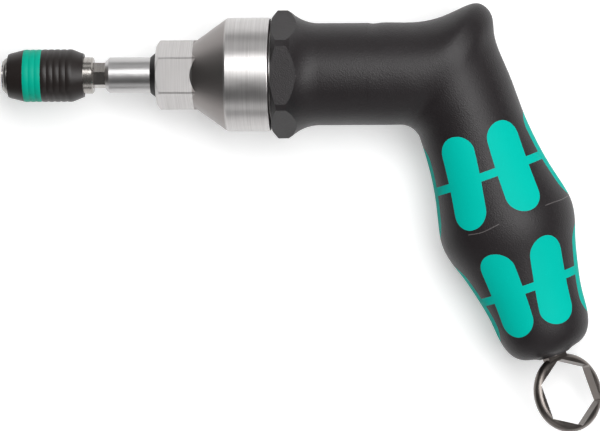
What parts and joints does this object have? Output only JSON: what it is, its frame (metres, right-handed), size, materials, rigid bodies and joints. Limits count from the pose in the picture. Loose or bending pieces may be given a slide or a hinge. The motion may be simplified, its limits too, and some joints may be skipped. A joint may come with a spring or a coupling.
{
  "type": "torque screwdriver",
  "caption": "Pistol-grip torque screwdriver with a hex-tipped setting nose, an overload clutch, a quick-release hex bit chuck and a swivelling ring key in the butt",
  "frame": {"origin": "centre of the resting flat on the barrel flange, straight below the shaft's axis, on the surface that the tool lies on", "axes": "+X runs along the shaft from the chuck to the handle, +Y points up in the plane of the grip, away from the butt, and +Z points up from the surface that the tool lies on"},
  "size_m": [0.1665, 0.1193, 0.0318],
  "materials": {
    "black_moulding": "fine stippled glass-filled nylon with a soft sheen",
    "green_grip": "soft satin grip rubber, flush with the moulding",
    "dark_steel": "tumbled steel with a dark nickel plate",
    "spring_steel": "drawn spring steel",
    "satin_steel": "turned and satin brushed steel",
    "bronze": "sintered bronze",
    "seal_rubber": "moulded nitrile rubber",
    "ground_steel": "hardened and ground",
    "ball_steel": "polished bearing steel",
    "matte_steel": "fine blasted steel",
    "bright_steel": "bright plated steel",
    "magnet_plating": "nickel plated magnet",
    "black_sleeve": "satin black coated sleeve",
    "green_band": "moulded ring in semi-gloss plastic"
  },
  "bodies": {
    "handle": {"grip_body": "black_moulding", "upper_inlay": "green_grip", "lower_inlay": "green_grip", "key_socket": "dark_steel", "barrel_bush": "bronze", "drive_tube": "ground_steel", "tail_bush": "bronze", "clutch_disc": "ground_steel", "clutch_spring": "spring_steel"},
    "setting_nose": {"nose_housing": "satin_steel", "nose_bush": "bronze", "shaft_seal": "seal_rubber", "thrust_washer": "ground_steel", "retaining_ring": "spring_steel"},
    "preload": {"preload_nut": "ground_steel"},
    "output": {"output_shaft": "matte_steel", "clutch_balls": "ball_steel", "ball_cage": "bronze", "chuck_core": "bright_steel", "bit_magnet": "magnet_plating", "front_clip": "spring_steel", "chuck_spring": "spring_steel"},
    "release": {"release_carrier": "ground_steel", "stop_ring": "ground_steel"},
    "sleeve": {"chuck_sleeve": "black_sleeve", "sleeve_band": "green_band"},
    "upper_lock": {"lock_ball_upper": "ball_steel"},
    "lower_lock": {"lock_ball_lower": "ball_steel"},
    "key": {"ring_key": "dark_steel", "key_clip": "spring_steel"}
  },
  "joints": [
    {"name": "torque_setting", "type": "hinge", "parent": "handle", "child": "setting_nose", "pos_m": [0, 0, 0.01588], "axis": [1, 0, 0], "range_deg": [0, 1080]},
    {"name": "preload_slide", "type": "slide", "parent": "handle", "child": "preload", "axis": [-1, 0, 0], "range_m": [0, 0.0045], "deforming": ["clutch_spring"]},
    {"name": "shaft_turn", "type": "hinge", "parent": "handle", "child": "output", "pos_m": [0, 0, 0.01588], "axis": [1, 0, 0], "continuous": true},
    {"name": "sleeve_release", "type": "slide", "parent": "output", "child": "release", "axis": [-1, 0, 0], "range_m": [0, 0.0025], "stiffness_N_per_m": 900, "springref_m": -0.003, "deforming": ["chuck_spring"]},
    {"name": "sleeve_spin", "type": "hinge", "parent": "release", "child": "sleeve", "pos_m": [-0.065, 0, 0.01588], "axis": [1, 0, 0], "continuous": true},
    {"name": "upper_lock_slide", "type": "slide", "parent": "output", "child": "upper_lock", "axis": [0, 1, 0], "range_m": [0, 0.00035]},
    {"name": "lower_lock_slide", "type": "slide", "parent": "output", "child": "lower_lock", "axis": [0, -1, 0], "range_m": [0, 0.00035]},
    {"name": "key_swivel", "type": "hinge", "parent": "handle", "child": "key", "pos_m": [0.07522, -0.07833, 0.01588], "axis": [0.3338, -0.9426, 0], "continuous": true}
  ],
  "couplings": [
    {"joint": "preload_slide", "follows": "torque_setting", "m_per_rad": 0.00023873},
    {"joint": "upper_lock_slide", "follows": "sleeve_release", "ratio": 0.14},
    {"joint": "lower_lock_slide", "follows": "sleeve_release", "ratio": 0.14}
  ]
}
